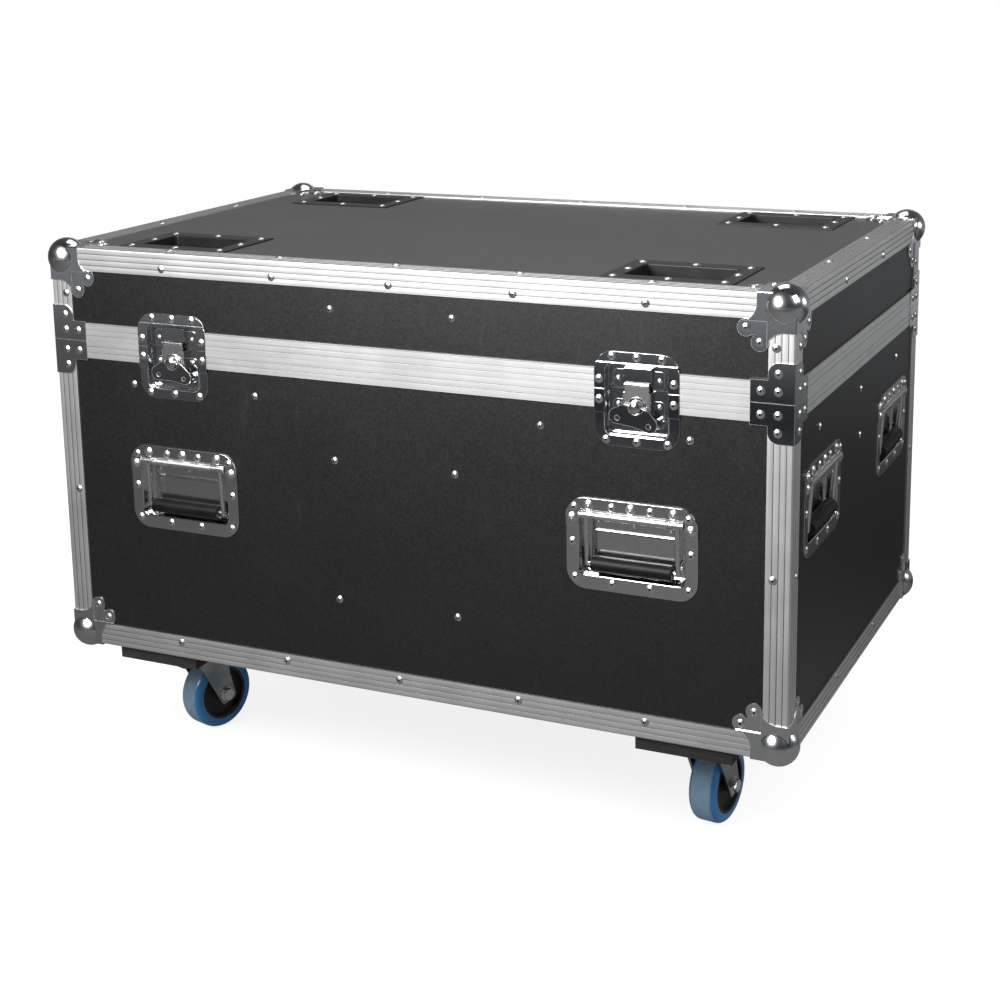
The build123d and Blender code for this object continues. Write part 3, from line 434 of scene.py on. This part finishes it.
def grip_rubber():
    """Black moulded rubber with a slight bloom."""
    f = Finish("grip_rubber", Specular_IOR_Level=0.18)
    bloom = f.noise(40.0, 4.0)
    grit = f.noise(1500.0, 2.0)
    colour = f.ramp(bloom, (0.3, (0.008, 0.008, 0.008)), (0.7, (0.018, 0.018, 0.019)))
    normal = f.bump(grit, 0.00006, 0.5, f.eased(0.0008))
    return f.wear(Base_Color=colour, Roughness=0.36 + bloom * 0.16, Normal=normal)


def blue_tyre(wheel):
    """Blue elastic tyre: a dull, dusty tread and a clean glossy side wall."""
    f = Finish("blue_tyre_" + wheel, Specular_IOR_Level=0.5)
    reach = f.reach("caster_" + wheel + "_roll")
    painted_top_sheen = f.noise(90.0, 5.0)
    cloud = f.noise(25.0)
    grit = f.noise(650.0)
    tread = f.between(reach + (painted_top_sheen - 0.5) * 0.0012, tread_r, tread_r + 0.0010)
    clean = f.ramp(cloud, (0.3, (0.040, 0.200, 0.460)), (0.7, (0.060, 0.260, 0.560)))
    tone = painted_top_sheen * 0.6 + grit * 0.4
    dull = f.ramp(tone, (0.3, (0.150, 0.270, 0.410)), (0.7, (0.270, 0.400, 0.530)))
    colour = f.mix(tread, clean, dull)
    normal = f.bump(f.noise(900.0) + grit * tread, 0.0001, 0.5)
    return f.wear(Base_Color=colour, Roughness=0.20 + tread * 0.5 + painted_top_sheen * 0.1, Normal=normal)


def fork_steel(wheel):
    """Dull zinc plate, clouded by use, round a bright axle bolt."""
    f = Finish("fork_steel_" + wheel, Metallic=1.0)
    reach = f.reach("caster_" + wheel + "_roll")
    bolt = f.between(reach, bolt_r, bolt_r + 0.0006, 1.0, 0.0)
    cloud = f.noise(35.0, 4.0)
    smear = f.noise(160.0, 4.0)
    colour = f.ramp(cloud, (0.3, (0.30, 0.31, 0.33)), (0.7, (0.52, 0.53, 0.55)))
    # Painted highlight: sharp edges are lightened.
    colour = f.mix(f.rims(0.0010) * 0.8, colour, (0.80, 0.80, 0.80))
    colour = f.mix(bolt, colour, (0.86, 0.86, 0.86))
    roughness = 0.20 + smear * 0.12 - bolt * 0.08
    return f.wear(Base_Color=colour, Roughness=roughness, Normal=f.bump(cloud, 0.00006, 0.5))


def hub_plastic():
    """Black glass-filled nylon."""
    f = Finish("hub_plastic", Specular_IOR_Level=0.45)
    grain = f.noise(700.0)
    cloud = f.noise(45.0)
    colour = f.ramp(cloud, (0.3, (0.010, 0.010, 0.011)), (0.7, (0.028, 0.028, 0.030)))
    normal = f.bump(grain, 0.00008, 0.6, f.eased(0.0006))
    return f.wear(Base_Color=colour, Roughness=0.42 + cloud * 0.15, Normal=normal)


corner_sheet = plated(
    "plated_sheet", (0.80, 0.81, 0.82), 0.07, recess=0.07, proud=0.13, shade=0.5)
coats = {
    "laminate": laminate(),
    "aluminium_profile": extruded(),
    "zinc_steel": corner_sheet,
    "bright_steel": plated("plated_steel", (0.84, 0.84, 0.84), 0.14),
    "black_dish": powder_coat(),
    "caster_wood": coated_board(),
    "caster_steel": plated("zinc_plate", (0.62, 0.64, 0.67), 0.22),
    "inner_wood": birch_ply(),
    "foam": foam_sheet(),
    "grip_rubber": grip_rubber(),
    "hub_plastic": hub_plastic(),
}
heads = rivet_steel()
handle_sheet = plated("handle_sheet", (0.80, 0.80, 0.80), 0.08, recess=0.03, hinged=True)
brushed = plated("brushed_plate", (0.80, 0.80, 0.80), 0.24)
# Painted shade: the latch wings get a darker copy of the plated steel.
wing_plate = plated("wing_plate", (0.46, 0.46, 0.47), 0.12)
own_coats = {"base_fasteners": heads, "lid_fasteners": heads, "handle_dishes": handle_sheet}
for corner in ("front_left", "front_right", "back_left", "back_right"):
    side, end = corner.split("_")
    own_coats["handle_bail_" + corner] = brushed
    own_coats["handle_bail_" + end + "_" + side] = brushed
    own_coats["latch_hook_" + corner] = brushed
    own_coats["latch_wing_" + corner] = wing_plate
    own_coats["caster_tyre_" + corner] = blue_tyre(corner)
    own_coats["caster_fork_" + corner] = fork_steel(corner)
for part in frame["record"]["subparts"]:
    mesh = frame["nodes"][part["node"]].data
    mesh.materials.clear()
    mesh.materials.append(own_coats.get(part["node"]) or coats[part["material_slot"]])


# The studio
world_light = 0.35
floor_side = 60.0
room_r = 6.0
# The cloth lies just clear of the floor.
cloth_z = 0.0005


def stage_piece(name, shape, material, height=0.0):
    """A piece of the studio, which is no part of the case."""
    mesh = bpy.data.meshes.new(name)
    shape.to_mesh(mesh)
    shape.free()
    mesh.materials.append(material)
    piece = bpy.data.objects.new(name, mesh)
    piece.location.z = height
    bpy.context.scene.collection.objects.link(piece)
    return piece


def square_sheet(side):
    shape = bmesh.new()
    bmesh.ops.create_grid(shape, x_segments=1, y_segments=1, size=side / 2)
    return shape


def half_sphere(radius):
    """A half sphere round the case, with its open side down."""
    shape = bmesh.new()
    bmesh.ops.create_uvsphere(shape, u_segments=48, v_segments=24, radius=radius)
    whole = shape.verts[:] + shape.edges[:] + shape.faces[:]
    ground = {"plane_co": (0, 0, 0), "plane_no": (0, 0, 1)}
    bmesh.ops.bisect_plane(shape, geom=whole, clear_inner=True, **ground)
    return shape


def floor_paint():
    """A pale floor that reads white by camera, metal and glass, and still takes a shadow."""
    f = Finish("pale_floor", Base_Color=(0.45, 0.45, 0.45), Roughness=0.9)
    f.wear(Specular_IOR_Level=0.1, Emission_Strength=1.0)
    return f.wear(Emission_Color=f.mix(f.shown(), (0.05, 0.05, 0.05), (0.84, 0.84, 0.84)))


def seen_in_gloss_only(thing):
    """A studio flag: glossy surfaces mirror it, and nothing else sees it."""
    thing.visible_camera = False
    thing.visible_diffuse = False
    thing.visible_transmission = False
    thing.visible_volume_scatter = False
    thing.visible_shadow = False
    thing.data.materials[0].cycles.emission_sampling = "NONE"


def flag_finish(name):
    """A surface that only shows its own brightness."""
    f = Finish(name, Base_Color=(0.0, 0.0, 0.0), Roughness=1.0)
    f.wear(Specular_IOR_Level=0.0, Emission_Strength=1.0)
    return f


def room_paint():
    """The dim studio round the case: a paler back wall, and darkness behind the camera."""
    f = flag_finish("studio_room")
    x, y, z = f.axes()
    behind = f.between(y / room_r, -0.2, 0.9)
    height = f.between(z / room_r, 0.0, 0.8)
    low = f.mix(behind, (0.030, 0.032, 0.036), (0.18, 0.185, 0.195))
    high = f.mix(behind, (0.045, 0.046, 0.050), (0.085, 0.085, 0.088))
    return f.wear(Emission_Color=f.mix(height, low, high))


def cloth_paint():
    """The floor as the plated parts mirror it: grey near the case, dark far in front."""
    f = flag_finish("studio_cloth")
    x, y, z = f.axes()
    near = f.between(y + f.noise(1.2, 2.0) * 0.2, -2.15, -1.45)
    right = f.between(x, -1.6, 0.4)
    front = f.mix(right, (0.085, 0.085, 0.086), (0.185, 0.185, 0.186))
    far = f.mix(f.between(x, -1.9, -1.2), (0.088, 0.088, 0.090), (0.012, 0.014, 0.019))
    far = f.mix(f.between(y, -3.4, -2.55), (0.200, 0.210, 0.225), far)
    front = f.mix(near, far, front)
    back = f.mix(f.between(y, 1.5, 3.2), (0.045, 0.047, 0.050), (0.29, 0.30, 0.31))
    return f.wear(Emission_Color=f.mix(f.between(y, 0.0, 0.8), front, back))


stage_piece("floor", square_sheet(floor_side), floor_paint())
seen_in_gloss_only(stage_piece("studio_room", half_sphere(room_r), room_paint()))
cloth = square_sheet(2 * room_r)
seen_in_gloss_only(stage_piece("studio_cloth", cloth, cloth_paint(), cloth_z))


def soft_box(name, place, aim, width, height, power, sheen=False):
    """A rectangular lamp turned towards a point. With sheen it adds only a shine."""
    lamp = bpy.data.lights.new(name, "AREA")
    lamp.shape = "RECTANGLE"
    lamp.size = width
    lamp.size_y = height
    lamp.energy = power
    holder = bpy.data.objects.new(name, lamp)
    holder.location = place
    back = Vector(place) - Vector(aim)
    holder.rotation_euler = back.to_track_quat("Z", "Y").to_euler()
    holder.visible_diffuse = not sheen
    bpy.context.scene.collection.objects.link(holder)


soft_box("key", (-0.78, -1.95, 1.85), (0.0, -0.2, 0.45), 1.0, 1.0, 30.0)
soft_box("key_sheen", (-0.34, -1.75, 1.22), (0.1, -0.2, 0.45), 0.8, 0.7, 35.0, sheen=True)
soft_box("fill", (2.10, -0.70, 1.85), (0.2, 0.0, 0.45), 0.9, 1.1, 16.0)
soft_box("side_sheen", (2.30, 0.80, 1.00), (0.5, 0.0, 0.45), 0.5, 0.5, 7.0, sheen=True)
soft_box("top", (-0.3, 0.9, 2.9), (0.0, 0.0, 0.6), 1.4, 1.4, 16.0)
soft_box("back_sheen", (-1.5, 3.2, 1.9), (-0.2, 0.0, 0.6), 4.5, 0.8, 4.0, sheen=True)


def white_world():
    """A white background, which lights the case at a third of its brightness."""
    world = bpy.data.worlds.new("studio")
    bpy.context.scene.world = world
    sky = NodeBoard(world, "Background")
    strength = sky.between(sky.shown(), 0.0, 1.0, world_light, 1.0)
    sky.wear(Color=(1.0, 1.0, 1.0), Strength=strength)


white_world()


# The camera
def photo_camera():
    """The photograph's view: a 1000 pixel square frame, its lens and its place."""
    focal_px = 1797.5
    frame_px = 1000.0
    lens_drop_px = -160.0
    place = Vector((1.0134, -2.1754, 1.0587))
    right = Vector((0.90776, 0.41920, -0.01558))
    down = Vector((0.07415, -0.19689, -0.97762))
    ahead = Vector((-0.41288, 0.88629, -0.20982))
    data = bpy.data.cameras.new("photo_camera")
    data.sensor_width = 36.0
    data.lens = data.sensor_width * focal_px / frame_px
    data.shift_y = lens_drop_px / frame_px
    data.clip_end = 100.0
    camera = bpy.data.objects.new("photo_camera", data)
    turn = Matrix((right, -down, -ahead)).transposed()
    camera.matrix_world = Matrix.Translation(place) @ turn.to_4x4()
    bpy.context.scene.collection.objects.link(camera)
    bpy.context.scene.camera = camera


photo_camera()
bpy.context.scene.view_settings.view_transform = "Standard"
